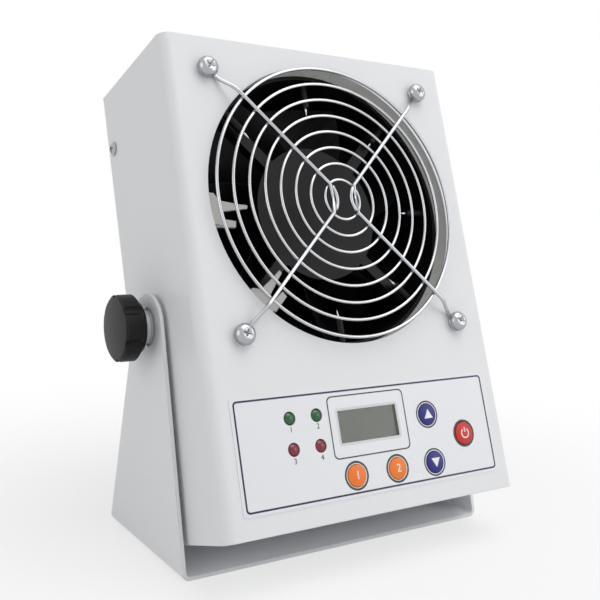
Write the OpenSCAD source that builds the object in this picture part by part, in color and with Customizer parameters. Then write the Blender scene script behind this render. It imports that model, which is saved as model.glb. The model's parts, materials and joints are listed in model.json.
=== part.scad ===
// Bench ionizing blower: a folded steel housing that leans in a U-shaped stand.
// A fan at the back of a ring of needle emitters blows air out of the front opening.
// The stand stands on the bench at z = 0, with the tilt axis straight above the origin.
// The front of the blower faces -Y, its right side (seen from the front) is +X.

/* [Housing] */
// Outside width of the housing
housing_w = 140; // [138:1:150]
// Outside height of the housing
housing_h = 191; // [190:1:205]
// Outside depth of the housing, from front face to back face
housing_d = 63; // [63:1:75]
// Thickness of the cover sheets
sheet_t = 1.2; // [1:0.1:1.5]
// Outside radius of the two upright bends of the front cover
front_bend_r = 4.5; // [3:0.5:6]

/* [Air path] */
// Diameter of the air opening in both covers
opening_d = 117; // [114:1:118]
// Height of the fan axis above the housing's bottom
fan_z = 125; // [124:0.5:126]
// Depth of the fan, a 120 mm square axial fan
fan_depth = 38; // [36:1:38]
// Number of blades on the impeller
blade_count = 7; // [5:1:9]
// Number of needle emitters round the opening
emitter_count = 8; // [4:4:8]
// Radius at which the needle points end
needle_tip_r = 42.5; // [40:0.5:46]

/* [Wire guard] */
// Number of rings in a wire guard
ring_count = 8; // [5:1:8]
// Radius of the smallest ring
first_ring_r = 8.4; // [8:0.1:9]
// Distance from one ring to the next
ring_step = 6.9; // [6:0.1:6.9]
// Thickness of the ring wire
ring_wire_d = 1.3; // [1.1:0.1:1.6]
// Thickness of the spoke wire
spoke_wire_d = 1.6; // [1.5:0.1:2]
// Height of the ring wire's centre above the sheet
ring_lift = 3.8; // [3.4:0.1:4.2]

/* [Control panel] */
// Width of the printed overlay
overlay_w = 124; // [120:1:128]
// Height of the printed overlay
overlay_h = 42; // [42:1:44]
// How far a key cap stands out of the overlay
key_proud = 0.9; // [0.7:0.1:1.2]
// Travel of a key
key_travel = 0.5; // [0.3:0.1:0.6]

/* [Stand] */
// Outside width of the stand
stand_w = 147; // [147:1:157]
// Depth of the stand's base
stand_d = 72; // [70:1:80]
// Thickness of the stand's sheet
stand_t = 1.5; // [1.5:0.1:1.5]
// Height of the tilt axis above the bench
pivot_height = 90; // [90:1:100]
// How far the housing leans back
lean_angle = 19; // [0:1:35]

/* [Hidden] */
$fn = 48;

// Small distance by which a cutting tool runs past the surface that it cuts
past = 1;
// Gap between two fixed pieces that sit against or inside each other
seat = 0.05;

// Tilt axis in the housing, from the front face and from the bottom
pivot_y = 37;
pivot_z = 84;

// Colours of the finishes
paint = "#dfe1e4";
chrome = "#c9ccd0";
steel = "#a9adb2";
black_plastic = "#1b1c1f";
white_plastic = "#ecece6";
brass = "#c7a24b";
copper = "#b8673a";
board_green = "#1f6b3d";

// Back cover fit: side gap to the front cover, bend radius and flange depth
cover_gap = 0.3;
rear_bend_r = 2.4;
flange_depth = 14;
rear_half_w = housing_w / 2 - sheet_t - cover_gap;

// Machine screws
m3 = 3;
m4 = 4;
screw_pitch = 105;
side_screw_inset = 5.5;
side_screw_heights = [25, 165.5];

// Depths of the pieces behind the front sheet, as distances from the front face
outlet_ring_depth = 6.3;
emitter_ring_depth = 7.5;
emitter_front_y = sheet_t + outlet_ring_depth;
fan_front_y = emitter_front_y + emitter_ring_depth;
fan_back_y = fan_front_y + fan_depth;
ring_frame_w = 122;

// Fan
fan_w = 120;
fan_flange = 5;
duct_r = 58;
blade_tip_r = 56.5;
hub_r = 28;
hub_front = fan_depth - 5.6;
hub_back = 3;
motor_base_r = 29;
motor_base_t = 3.8;
strut_t = 4.6;
bearing_r = 5;
shaft_r = 2;
bearing_w = 4;
bearing_places = [12, 26];

// Keys: place across from the middle, place up from the bottom, cap diameter
power_key_at = [46, 25.2, 9.2];
up_key_at = [27.8, 35, 8.6];
down_key_at = [27.8, 15.6, 8.6];
left_key_at = [-11.6, 15.7, 8.4];
right_key_at = [8.4, 15.7, 8.4];
KEYS = [power_key_at, up_key_at, down_key_at, left_key_at, right_key_at];
key_gap = 0.3;

// Lamps and display, from the middle and from the bottom
overlay_z = 7.8;
overlay_t = 0.3;
lamp_d = 5;
lamp_columns = [-37.8, -25.8];
green_lamp_z = 40.3;
red_lamp_z = 28.8;
display_w = 28.4;
display_h = 12.4;
display_at = [-2, 34.6];
display_cut_w = 32;
display_cut_h = 16;

// Control board, behind the panel
board_t = 1.6;
board_y = 9.2;
board_w = 122;
board_h = 42;
board_z = 7;
standoff_places = [for (x = [-56, 56], z = [12, 44]) [x, z]];

// Inner pieces that stand on the bottom sheet
module_size = [56, 24, 40];
module_at = [-64, 20];
power_board_size = [60, 44, board_t];
power_board_at = [3, 15];
power_board_lift = 6;
inlet_at = [42, 30];
ground_at = [-40, 30];

// Tilt pivot
stud_r = 2.95;
pivot_nut_r = 4.5;
pivot_nut_flange = 0.8;
pivot_nut_depth = 6.2;
stand_gap = stand_w / 2 - stand_t - housing_w / 2;
arm_top_r = 13;
stand_bend_r = 3;
base_hole_d = 5;
base_hole_pitch = 90;
base_hole_y = 25;
knob_washer_t = 1;

// Puts pieces drawn upright, with the front face at y = 0 and the bottom at z = 0,
// on the tilt axis, leaning back.
module leaned() {
  translate([0, 0, pivot_height])
    rotate([-lean_angle, 0, 0])
      translate([0, -pivot_y, -pivot_z])
        children();
}

// Puts pieces on the fan axis: their z = 0 at depth y, their +z towards the front.
module on_fan_axis(y) {
  translate([0, y, fan_z])
    rotate([90, 0, 0])
      children();
}

// Puts pieces on the front face: their z = 0 on the face, their +z outwards.
module on_front(x, z) {
  translate([x, 0, z])
    rotate([90, 0, 0])
      children();
}

// Puts pieces on the back face: their z = 0 on the face, their +z outwards.
module on_back(x, z) {
  translate([x, housing_d, z])
    rotate([-90, 0, 0])
      children();
}

// Puts pieces on a side of the housing (side = -1 left, 1 right): their +z outwards.
module on_side(side, y, z) {
  translate([side * housing_w / 2, y, z])
    rotate([0, side * 90, 0])
      children();
}

// Repeats pieces at the four fan screws.
module at_fan_screws() {
  for (x = [-1, 1], y = [-1, 1])
    translate([x * screw_pitch / 2, y * screw_pitch / 2, 0])
      children();
}

// Section of a sheet folded twice: a wall at y = 0 with two arms towards +y.
module folded_section(width, depth, r, t) {
  translate([-width / 2 + r, 0])
    square([width - 2 * r, t]);
  for (side = [-1, 1]) {
    translate([side * (width / 2 - t / 2) - t / 2, r])
      square([t, depth - r]);
    intersection() {
      translate([side * (width / 2 - r), r])
        difference() {
          circle(r = r);
          circle(r = r - t);
        }
      translate([side * (width / 2 - r / 2) - r / 2, 0])
        square([r, r]);
    }
  }
}

// Rectangle with rounded corners, centred.
module rounded_rectangle(w, h, r) {
  square([w - 2 * r, h], center = true);
  square([w, h - 2 * r], center = true);
  for (x = [-1, 1], y = [-1, 1])
    translate([x * (w / 2 - r), y * (h / 2 - r)])
      circle(r = r);
}

// Round bar from point a to point b.
module rod(a, b, d) {
  v = b - a;
  length = norm(v);
  translate(a)
    rotate([0, acos(v[2] / length), atan2(v[1], v[0])])
      cylinder(d = d, h = length);
}

// Pan-head screw with a cross recess: head above z = 0, shank below it.
module pan_screw(d, head_d, head_h, length) {
  dome_r = 0.9 * head_d;
  recess_w = 0.13 * head_d;
  recess_l = 0.56 * head_d;
  recess_h = 0.5 * head_h;
  difference() {
    intersection() {
      cylinder(d = head_d, h = head_h);
      translate([0, 0, head_h - dome_r])
        sphere(r = dome_r, $fn = 64);
    }
    for (turn = [0, 90])
      rotate([0, 0, turn])
        translate([-recess_l / 2, -recess_w / 2, head_h - recess_h])
          cube([recess_l, recess_w, recess_h + past]);
  }
  translate([0, 0, -length])
    cylinder(d = d, h = length + 0.1);
}

// Hexagon nut on the z axis, from z = 0 upwards, with a round bore.
module hex_nut(bore_d, across_flats, height) {
  difference() {
    cylinder(d = across_flats / cos(30), h = height, $fn = 6);
    translate([0, 0, -past])
      cylinder(d = bore_d, h = height + 2 * past);
  }
}

// Lead through a list of points, its straight runs crossing a little at the bends.
module lead(points, d) {
  last = len(points) - 1;
  for (i = [1 : last]) {
    run = points[i] - points[i - 1];
    over = run * d / (3 * norm(run));
    rod(i == 1 ? points[0] : points[i - 1] - over,
        i == last ? points[last] : points[i] + over, d, $fn = 10);
  }
}

// ---- Housing ----

// Front, left and right walls from one folded sheet.
module front_cover() {
  color(paint)
    leaned()
      difference() {
        linear_extrude(height = housing_h)
          folded_section(housing_w, housing_d, front_bend_r, sheet_t);
        front_cover_holes();
      }
}

module front_cover_holes() {
  depth = sheet_t + 2 * past;
  on_fan_axis(sheet_t + past) {
    cylinder(d = opening_d, h = depth, $fn = 128);
    at_fan_screws()
      cylinder(d = m4 + 0.5, h = depth);
  }
  for (key = KEYS)
    on_front(key[0], key[1])
      translate([0, 0, -sheet_t - past])
        cylinder(d = key[2] + 2 * key_gap, h = depth);
  for (x = lamp_columns, z = [green_lamp_z, red_lamp_z])
    on_front(x, z)
      translate([0, 0, -sheet_t - past])
        cylinder(d = lamp_d + 0.4, h = depth);
  translate([display_at[0] - display_cut_w / 2, -past, display_at[1] - display_cut_h / 2])
    cube([display_cut_w, depth, display_cut_h]);
  for (side = [-1, 1]) {
    on_side(side, pivot_y, pivot_z)
      translate([0, 0, -sheet_t - past])
        cylinder(r = pivot_nut_r + seat, h = depth);
    for (z = side_screw_heights)
      on_side(side, housing_d - side_screw_inset, z)
        translate([0, 0, -sheet_t - past])
          cylinder(d = m3 + 0.4, h = depth);
  }
}

// Back, top and bottom walls from one folded sheet, with a flange down each side.
module rear_cover() {
  arm_depth = housing_d - sheet_t - cover_gap;
  notch = rear_bend_r + past;
  color(paint)
    leaned()
      difference() {
        union() {
          difference() {
            translate([-rear_half_w, 0, 0])
              rotate([90, 0, 90])
                linear_extrude(height = 2 * rear_half_w)
                  translate([housing_d, housing_h / 2])
                    rotate(90)
                      folded_section(housing_h, arm_depth, rear_bend_r, sheet_t);
            for (side = [-1, 1])
              translate([side * (rear_half_w + past - notch / 2) - notch / 2,
                         housing_d - notch, notch])
                cube([notch, notch + past, housing_h - 2 * notch]);
          }
          translate([0, housing_d, notch])
            mirror([0, 1, 0])
              linear_extrude(height = housing_h - 2 * notch)
                folded_section(2 * rear_half_w, flange_depth, rear_bend_r, sheet_t);
        }
        rear_cover_holes();
      }
}

module rear_cover_holes() {
  depth = sheet_t + 2 * past;
  on_fan_axis(housing_d + past) {
    cylinder(d = opening_d, h = depth, $fn = 128);
    at_fan_screws()
      cylinder(d = m4 + 0.5, h = depth);
  }
  on_back(inlet_at[0], inlet_at[1])
    translate([0, 0, -sheet_t - past])
      cylinder(r = inlet_r + 0.1, h = depth);
  on_back(ground_at[0], ground_at[1])
    translate([0, 0, -sheet_t - past])
      cylinder(r = ground_r + 0.1, h = depth);
  for (side = [-1, 1], z = side_screw_heights)
    translate([side * (rear_half_w - sheet_t / 2), housing_d - side_screw_inset, z])
      rotate([0, 90, 0])
        cylinder(d = m3 + 0.4, h = depth, center = true);
  for (place = module_screw_places())
    translate([place[0], place[1], -past])
      cylinder(d = m3 + 0.2, h = depth);
  for (place = power_board_feet_places())
    translate([place[0], place[1], -past])
      cylinder(d = m3 + 0.2, h = depth);
}

// The four screws that hold the covers together.
module cover_screws() {
  color(chrome)
    leaned()
      for (side = [-1, 1], z = side_screw_heights)
        on_side(side, housing_d - side_screw_inset, z)
          translate([0, 0, seat])
            pan_screw(m3 - 0.1, 6, 1.5, 6.5);
}

// The nuts behind them, pressed into the rear cover's flanges.
module cover_nuts() {
  nut_h = 2.4;
  color(steel)
    leaned()
      for (side = [-1, 1], z = side_screw_heights)
        on_side(side, housing_d - side_screw_inset, z)
          translate([0, 0, -2 * sheet_t - cover_gap - seat - nut_h])
            hex_nut(m3 + 0.1, 5.5, nut_h);
}

// ---- Wire guards ----

eyelet_r = 3.2;
spoke_lift = ring_lift + ring_wire_d / 2 + spoke_wire_d / 2 - 0.2;
eyelet_lift = spoke_wire_d / 2 + seat;
nose_r = 8.5;
spoke_bend_r = 61.5;
spoke_foot_r = 69;
screw_r = screw_pitch / sqrt(2);

// Guard on the z axis, standing on z = 0: rings with two bent spoke wires on top of them.
module wire_guard() {
  for (i = [0 : ring_count - 1])
    translate([0, 0, ring_lift])
      rotate_extrude($fn = 96)
        translate([first_ring_r + i * ring_step, 0])
          circle(d = ring_wire_d, $fn = 16);
  for (side = [0, 180])
    rotate([0, 0, side])
      bent_spoke();
}

// One spoke wire: out from a rounded nose near the middle, down to an eyelet at each end.
module bent_spoke() {
  translate([nose_r * sqrt(2), 0, spoke_lift])
    rotate([0, 0, 135])
      rotate_extrude(angle = 90)
        translate([nose_r, 0])
          circle(d = spoke_wire_d, $fn = 16);
  for (turn = [-45, 45])
    rotate([0, 0, turn]) {
      rod([nose_r, 0, spoke_lift], [spoke_bend_r, 0, spoke_lift], spoke_wire_d);
      translate([spoke_bend_r, 0, spoke_lift])
        sphere(d = 1.03 * spoke_wire_d);
      rod([spoke_bend_r, 0, spoke_lift], [spoke_foot_r, 0, eyelet_lift], spoke_wire_d);
      translate([spoke_foot_r, 0, eyelet_lift])
        sphere(d = 1.03 * spoke_wire_d);
      rod([spoke_foot_r, 0, eyelet_lift], [screw_r - eyelet_r + 0.3, 0, eyelet_lift],
          spoke_wire_d);
      translate([screw_r, 0, eyelet_lift])
        rotate_extrude($fn = 32)
          translate([eyelet_r, 0])
            circle(d = spoke_wire_d, $fn = 16);
    }
}

module front_guard() {
  color(chrome)
    leaned()
      on_fan_axis(0)
        wire_guard();
}

module rear_guard() {
  color(chrome)
    leaned()
      on_back(0, fan_z)
        wire_guard();
}

guard_screw_seat = eyelet_lift + spoke_wire_d / 2 + seat;
front_screw_l = fan_front_y + fan_flange + guard_screw_seat + 5;

// Screws through the guard, the front cover, both rings and the fan's front flange.
module front_guard_screws() {
  color(chrome)
    leaned()
      on_fan_axis(0)
        at_fan_screws()
          translate([0, 0, guard_screw_seat])
            pan_screw(m4 - 0.1, 8.4, 3, front_screw_l);
}

module front_guard_nuts() {
  nut_h = 3.2;
  color(steel)
    leaned()
      on_fan_axis(fan_front_y + fan_flange + seat + nut_h)
        at_fan_screws()
          hex_nut(m4 + 0.1, 7, nut_h);
}

// Screws and nuts that hold the rear guard on the back sheet.
module rear_guard_screws() {
  color(chrome)
    leaned()
      on_back(0, fan_z)
        at_fan_screws()
          translate([0, 0, guard_screw_seat])
            pan_screw(m4 - 0.1, 8.4, 3, 8);
}

module rear_guard_nuts() {
  nut_h = 3.2;
  color(steel)
    leaned()
      on_back(0, fan_z)
        at_fan_screws()
          translate([0, 0, -sheet_t - seat - nut_h])
            hex_nut(m4 + 0.1, 7, nut_h);
}

// Foam disc that filters the air, held between the fan and the back sheet.
module intake_filter() {
  filter_t = housing_d - sheet_t - fan_back_y - 2 * seat;
  color("#2b2c2e")
    leaned()
      on_back(0, fan_z)
        translate([0, 0, -sheet_t - seat - filter_t])
          cylinder(r = 62.5, h = filter_t, $fn = 96);
}

// ---- Emitters ----

// Light plastic ring that lines the opening and spaces the emitter ring off the sheet.
module outlet_ring() {
  color(white_plastic)
    leaned()
      on_fan_axis(emitter_front_y - seat)
        ring_frame(outlet_ring_depth - 2 * seat, opening_d);
}

// Square plastic frame on z = 0 with a round opening and the four screw holes.
module ring_frame(height, hole_d) {
  difference() {
    linear_extrude(height = height)
      rounded_rectangle(ring_frame_w, ring_frame_w, 6);
    translate([0, 0, -past]) {
      cylinder(d = hole_d, h = height + 2 * past, $fn = 128);
      at_fan_screws()
        cylinder(d = m4 + 0.5, h = height + 2 * past);
    }
  }
}

emitter_ring_hole_d = 2 * duct_r - 2;
emitter_plane = 3;
socket_r = 1.8;
socket_front_r = needle_tip_r + 3.5;
socket_back_r = duct_r + 1;
needle_r = 0.6;
needle_l = 8;

// Black insulating ring that holds the emitters.
module emitter_ring() {
  color(black_plastic)
    leaned()
      on_fan_axis(fan_front_y - seat)
        difference() {
          ring_frame(emitter_ring_depth - 2 * seat, emitter_ring_hole_d);
          at_emitters()
            cylinder(r = socket_r + seat, h = socket_back_r + seat);
        }
}

// Repeats pieces at the emitters: their +z points out from the fan axis.
module at_emitters() {
  for (i = [0 : emitter_count - 1])
    translate([0, 0, emitter_plane])
      rotate([0, 90, i * 360 / emitter_count])
        children();
}

// Sockets in the ring, one for each needle.
module emitter_sockets() {
  color(steel)
    leaned()
      on_fan_axis(fan_front_y - seat)
        at_emitters()
          difference() {
            translate([0, 0, socket_front_r])
              cylinder(r = socket_r, h = socket_back_r - socket_front_r);
            translate([0, 0, socket_front_r - past])
              cylinder(r = needle_r + seat, h = needle_l);
          }
}

// Pointed emitter needles.
module emitter_needles() {
  point_l = 2.5;
  color(steel)
    leaned()
      on_fan_axis(fan_front_y - seat)
        at_emitters() {
          translate([0, 0, needle_tip_r])
            cylinder(r1 = 0.05, r2 = needle_r, h = point_l, $fn = 24);
          translate([0, 0, needle_tip_r + point_l])
            cylinder(r = needle_r, h = needle_l - point_l);
        }
}

// ---- Fan ----

// Puts fan pieces in place: z = 0 at the fan's back, fan_depth at its front.
module in_fan() {
  leaned()
    on_fan_axis(fan_back_y)
      children();
}

// Square frame: duct between two flanges, with the motor base on four struts in front.
module fan_frame() {
  color(black_plastic)
    in_fan() {
      difference() {
        union() {
          for (z = [0, fan_depth - fan_flange])
            translate([0, 0, z])
              linear_extrude(height = fan_flange)
                rounded_rectangle(fan_w, fan_w, 6);
          intersection() {
            cylinder(r = duct_r + 3.5, h = fan_depth, $fn = 96);
            linear_extrude(height = fan_depth)
              rounded_rectangle(fan_w, fan_w, 6);
          }
        }
        translate([0, 0, -past])
          cylinder(r = duct_r, h = fan_depth + 2 * past, $fn = 128);
        translate([0, 0, -0.01])
          cylinder(r1 = duct_r + 1.6, r2 = duct_r, h = 3, $fn = 128);
        translate([0, 0, -past])
          at_fan_screws()
            cylinder(d = m4 + 0.5, h = fan_depth + 2 * past);
      }
      for (turn = [-135, -45, 45, 135])
        rotate([0, 0, turn])
          translate([motor_base_r - 2, -2.5, fan_depth - strut_t])
            cube([duct_r - motor_base_r + 3, 5, strut_t]);
      translate([0, 0, fan_depth - motor_base_t])
        cylinder(r = motor_base_r, h = motor_base_t, $fn = 96);
      bearing_tube();
    }
}

// Tube on the motor base that holds both bearings and carries the stator.
module bearing_tube() {
  tube_back = bearing_places[0];
  difference() {
    translate([0, 0, tube_back])
      cylinder(r = bearing_r + 1.3, h = fan_depth - motor_base_t - tube_back + 0.1);
    translate([0, 0, tube_back - past])
      cylinder(r = bearing_r - 0.6, h = fan_depth - motor_base_t - tube_back + past);
    for (z = [tube_back - past, bearing_places[1] - seat])
      translate([0, 0, z])
        cylinder(r = bearing_r + seat, h = bearing_w + past + seat);
  }
}

// Blade shape: chord, pitch and sweep go evenly from the hub to the tip.
blade_root_r = hub_r - 1.5;
blade_stations = 6;
blade_steps = 7;
blade_middle = 18.6;
blade_root_chord = 33;
blade_tip_chord = 49;
blade_root_pitch = -46;
blade_tip_pitch = -28;
blade_sweep = 16;
blade_start = 20;
blade_camber = 0.08;
blade_thickness = 2;

function between(a, b, t) = a + (b - a) * t;

// Height of the blade's middle line, and half its thickness, at u = -1 (edge) to 1 (edge)
function camber_at(u, chord) = blade_camber * chord * (1 - u * u);
function half_thickness_at(u) = 0.25 + (blade_thickness / 2 - 0.25) * sqrt(1 - u * u);

// Point of a blade at station t, from 0 at the root to 1 at the tip.
// u runs along the chord, and side is 1 on the hollow face that pushes the air, -1 behind.
function blade_point(t, u, side) =
  let (r = between(blade_root_r, blade_tip_r, t),
       chord = between(blade_root_chord, blade_tip_chord, t),
       pitch = between(blade_root_pitch, blade_tip_pitch, t),
       along = u * chord / 2,
       up = side * half_thickness_at(u) - camber_at(u, chord),
       round = along * cos(pitch) - up * sin(pitch),
       axial = along * sin(pitch) + up * cos(pitch),
       turn = blade_sweep * t + round / r * 180 / PI)
  [r * cos(turn), r * sin(turn), blade_middle + axial];

// One closed ring of points round the blade at station t.
function blade_ring(t) =
  concat([for (i = [0 : blade_steps]) blade_point(t, -1 + 2 * i / blade_steps, 1)],
         [for (i = [blade_steps : -1 : 0]) blade_point(t, -1 + 2 * i / blade_steps, -1)]);

module blade() {
  ring_n = 2 * (blade_steps + 1);
  points = [for (s = [0 : blade_stations], p = blade_ring(s / blade_stations)) p];
  skin = [for (s = [0 : blade_stations - 1], i = [0 : ring_n - 1])
            let (a = s * ring_n + i,
                 b = s * ring_n + (i + 1) % ring_n,
                 c = a + ring_n,
                 d = b + ring_n)
            each [[a, b, c], [b, d, c]]];
  first = blade_stations * ring_n;
  ends = [for (i = [0 : blade_steps - 1])
            let (j = ring_n - 1 - i)
            each [[i, j, i + 1], [j, j - 1, i + 1],
                  [first + i, first + i + 1, first + j],
                  [first + j, first + i + 1, first + j - 1]]];
  polyhedron(points = points, faces = concat(skin, ends), convexity = 4);
}

// Hub cup, open towards the motor base, with the blades round it.
module fan_impeller() {
  cup_wall = 1.5;
  cup_end = 2.6;
  color(black_plastic)
    in_fan() {
      difference() {
        union() {
          translate([0, 0, hub_back])
            cylinder(r1 = hub_r - 2, r2 = hub_r, h = 2, $fn = 96);
          translate([0, 0, hub_back + 2])
            cylinder(r = hub_r, h = hub_front - hub_back - 2, $fn = 96);
          for (i = [0 : blade_count - 1])
            rotate([0, 0, blade_start + i * 360 / blade_count])
              blade();
        }
        translate([0, 0, hub_back + cup_end])
          cylinder(r = hub_r - cup_wall, h = hub_front, $fn = 96);
        translate([0, 0, hub_back - past])
          cylinder(r = shaft_r + seat, h = 6);
      }
    }
}

magnet_r = hub_r - 1.5 - seat;
magnet_wall = 3.6;

// Steel ring with its magnets, glued inside the hub.
module rotor_magnet() {
  color(steel)
    in_fan()
      translate([0, 0, 8])
        difference() {
          cylinder(r = magnet_r, h = 21, $fn = 96);
          translate([0, 0, -past])
            cylinder(r = magnet_r - magnet_wall, h = 21 + 2 * past, $fn = 96);
        }
}

module fan_shaft() {
  color(steel)
    in_fan()
      translate([0, 0, hub_back + 0.2])
        cylinder(r = shaft_r, h = 29.6);
}

// Two ball bearings, drawn as closed rings.
module fan_bearings() {
  color(chrome)
    in_fan()
      for (z = bearing_places)
        translate([0, 0, z])
          difference() {
            cylinder(r = bearing_r, h = bearing_w);
            translate([0, 0, -past])
              cylinder(r = shaft_r + 0.05, h = bearing_w + 2 * past);
          }
}

stator_r = magnet_r - magnet_wall - 0.8;
stator_back = 14;
stator_h = 10;
pole_count = 4;

// Laminated core: a collar on the bearing tube with four T-shaped poles.
module stator_core() {
  color(steel)
    in_fan()
      translate([0, 0, stator_back])
        difference() {
          linear_extrude(height = stator_h) {
            circle(r = bearing_r + 4);
            for (i = [0 : pole_count - 1])
              rotate(i * 360 / pole_count) {
                translate([0, -2.5])
                  square([stator_r - 1.5, 5]);
                intersection() {
                  difference() {
                    circle(r = stator_r, $fn = 96);
                    circle(r = stator_r - 2.5, $fn = 96);
                  }
                  translate([stator_r / 2, -stator_r * 0.5])
                    square([stator_r, stator_r]);
                }
              }
          }
          translate([0, 0, -past])
            cylinder(r = bearing_r + 1.3 + seat, h = stator_h + 2 * past);
        }
}

// Copper windings round the four poles.
module stator_coils() {
  coil_h = stator_h + 4;
  color(copper)
    in_fan()
      for (i = [0 : pole_count - 1])
        rotate([0, 0, i * 360 / pole_count])
          translate([bearing_r + 5, 0, stator_back + stator_h / 2])
            difference() {
              translate([0, -5, -coil_h / 2])
                cube([6, 10, coil_h]);
              translate([-past, -2.5 - seat, -stator_h / 2 - seat])
                cube([6 + 2 * past, 5 + 2 * seat, stator_h + 2 * seat]);
            }
}

// Ring-shaped circuit board on the motor base.
module fan_circuit_board() {
  color(board_green)
    in_fan()
      translate([0, 0, fan_depth - motor_base_t - 1.2 - seat])
        difference() {
          cylinder(r = 20, h = 1.2);
          translate([0, 0, -past])
            cylinder(r = bearing_r + 1.3 + 0.2, h = 1.2 + 2 * past);
        }
}

// ---- Control panel ----

// Printed sheet on the front, with holes for the keys and lamps and for the display.
module control_overlay() {
  color(white_plastic)
    leaned()
      difference() {
        on_front(0, overlay_z + overlay_h / 2)
          linear_extrude(height = overlay_t)
            rounded_rectangle(overlay_w, overlay_h, 1);
        for (key = KEYS)
          on_front(key[0], key[1])
            translate([0, 0, -past])
              cylinder(d = key[2] + 2 * key_gap, h = 2 * past);
        for (x = lamp_columns, z = [green_lamp_z, red_lamp_z])
          on_front(x, z)
            translate([0, 0, -past])
              cylinder(d = lamp_d + 0.2, h = 2 * past);
        translate([display_at[0] - display_w / 2, -past, display_at[1] - display_h / 2])
          cube([display_w, 2 * past, display_h]);
      }
}

// Clear pane in the overlay, in front of the display.
module display_window() {
  color("#5f665c", 0.6)
    leaned()
      translate([display_at[0] - display_w / 2 + seat, -overlay_t,
                 display_at[1] - display_h / 2 + seat])
        cube([display_w - 2 * seat, overlay_t, display_h - 2 * seat]);
}

// Liquid-crystal display: glass in a stepped frame on the control board.
module display_module() {
  glass_y = sheet_t + 0.4;
  color("#3c413c")
    leaned()
      translate([display_at[0], 0, display_at[1]]) {
        translate([-20, glass_y + 2, -11])
          cube([40, board_y - glass_y - 2 - seat, 22]);
        translate([-display_cut_w / 2 + 0.3, glass_y - 0.8, -display_cut_h / 2 + 0.3])
          cube([display_cut_w - 0.6, 3, display_cut_h - 0.6]);
      }
}

// Round lamp with a flange, a domed tip and two legs.
module lamp() {
  tip_r = lamp_d / 2;
  translate([0, 0, -5.5])
    cylinder(d = lamp_d, h = 4.4);
  intersection() {
    translate([0, 0, -1.2])
      cylinder(d = lamp_d, h = 3);
    translate([0, 0, -tip_r * 1.3 + 0.8])
      sphere(r = tip_r * 1.3);
  }
  translate([0, 0, -6.5])
    cylinder(d = lamp_d + 0.8, h = 1);
  for (x = [-1.27, 1.27])
    translate([x - 0.25, -0.25, -board_y + seat])
      cube([0.5, 0.5, board_y - 6.4]);
}

module green_lamps() {
  color("#1d7a45")
    leaned()
      for (x = lamp_columns)
        on_front(x, green_lamp_z)
          lamp();
}

module red_lamps() {
  color("#a8243c")
    leaned()
      for (x = lamp_columns)
        on_front(x, red_lamp_z)
          lamp();
}

switch_h = 3.5;
switch_well_r = 2;
switch_well_depth = 2;
key_flange_t = 0.8;

// Key: a cap with a softly domed face, a flange behind the sheet and a post to its switch.
module key_cap(at) {
  cap_r = at[2] / 2;
  face = overlay_t + key_proud;
  flange_top = -sheet_t - 0.3;
  post_end = -board_y + switch_h - 0.8;
  leaned()
    on_front(at[0], at[1]) {
      intersection() {
        translate([0, 0, flange_top - 0.1])
          cylinder(r = cap_r, h = face - flange_top + 0.1);
        translate([0, 0, face - 4 * cap_r])
          sphere(r = 4 * cap_r, $fn = 96);
      }
      translate([0, 0, flange_top - key_flange_t])
        cylinder(r = cap_r + 1, h = key_flange_t);
      translate([0, 0, post_end])
        cylinder(r = switch_well_r - 0.4, h = flange_top - key_flange_t - post_end + 0.1);
    }
}

module power_key() {
  color("#c8342b")
    key_cap(power_key_at);
}

module up_key() {
  color("#2a2f86")
    key_cap(up_key_at);
}

module down_key() {
  color("#2a2f86")
    key_cap(down_key_at);
}

module left_key() {
  color("#f0862c")
    key_cap(left_key_at);
}

module right_key() {
  color("#ee8340")
    key_cap(right_key_at);
}

// Board that carries the display, the lamps and the switches.
module control_board() {
  color(board_green)
    leaned()
      difference() {
        translate([-board_w / 2, board_y, board_z])
          cube([board_w, board_t, board_h]);
        for (place = standoff_places)
          translate([place[0], board_y - past, place[1]])
            rotate([-90, 0, 0])
              cylinder(d = m3 + 0.2, h = board_t + 2 * past);
      }
}

// Square push switches on the board, each with a well for its key's post.
module key_switches() {
  color(black_plastic)
    leaned()
      for (key = KEYS)
        on_front(key[0], key[1])
          translate([0, 0, -board_y + seat])
            difference() {
              translate([-3, -3, 0])
                cube([6, 6, switch_h]);
              translate([0, 0, switch_h - switch_well_depth])
                cylinder(r = switch_well_r, h = switch_well_depth + past);
            }
}

// Threaded spacers pressed into the front sheet.
module board_standoffs() {
  color(steel)
    leaned()
      for (place = standoff_places)
        translate([place[0], sheet_t + seat, place[1]])
          rotate([-90, 0, 0])
            difference() {
              cylinder(d = 5.5, h = board_y - sheet_t - 2 * seat, $fn = 6);
              translate([0, 0, 1])
                cylinder(d = m3, h = board_y);
            }
}

module board_screws() {
  color(steel)
    leaned()
      for (place = standoff_places)
        translate([place[0], board_y + board_t + seat, place[1]])
          rotate([-90, 0, 0])
            pan_screw(m3 - 0.1, 5.6, 2, 6);
}

// ---- Power and high voltage ----

function module_screw_places() =
  [for (x = [5, module_size[0] - 5]) [module_at[0] + x, module_at[1] - 4]];

function power_board_feet_places() =
  [for (x = [4, power_board_size[0] - 4], y = [4, power_board_size[1] - 4])
     [power_board_at[0] + x, power_board_at[1] + y]];

// Potted high-voltage block with a fixing lip along its front and an output post on top.
module high_voltage_module() {
  lip = 8;
  floor_z = sheet_t + seat;
  color("#2b2d31")
    leaned()
      translate([module_at[0], module_at[1], floor_z])
        difference() {
          union() {
            cube(module_size);
            translate([0, -lip, 0])
              cube([module_size[0], lip + past, 3]);
            translate([12, 12, module_size[2] - past])
              cylinder(d = 10, h = 6);
          }
          for (x = [5, module_size[0] - 5])
            translate([x, -4, -past])
              cylinder(d = m3 + 0.4, h = 3 + 2 * past);
        }
}

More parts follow.
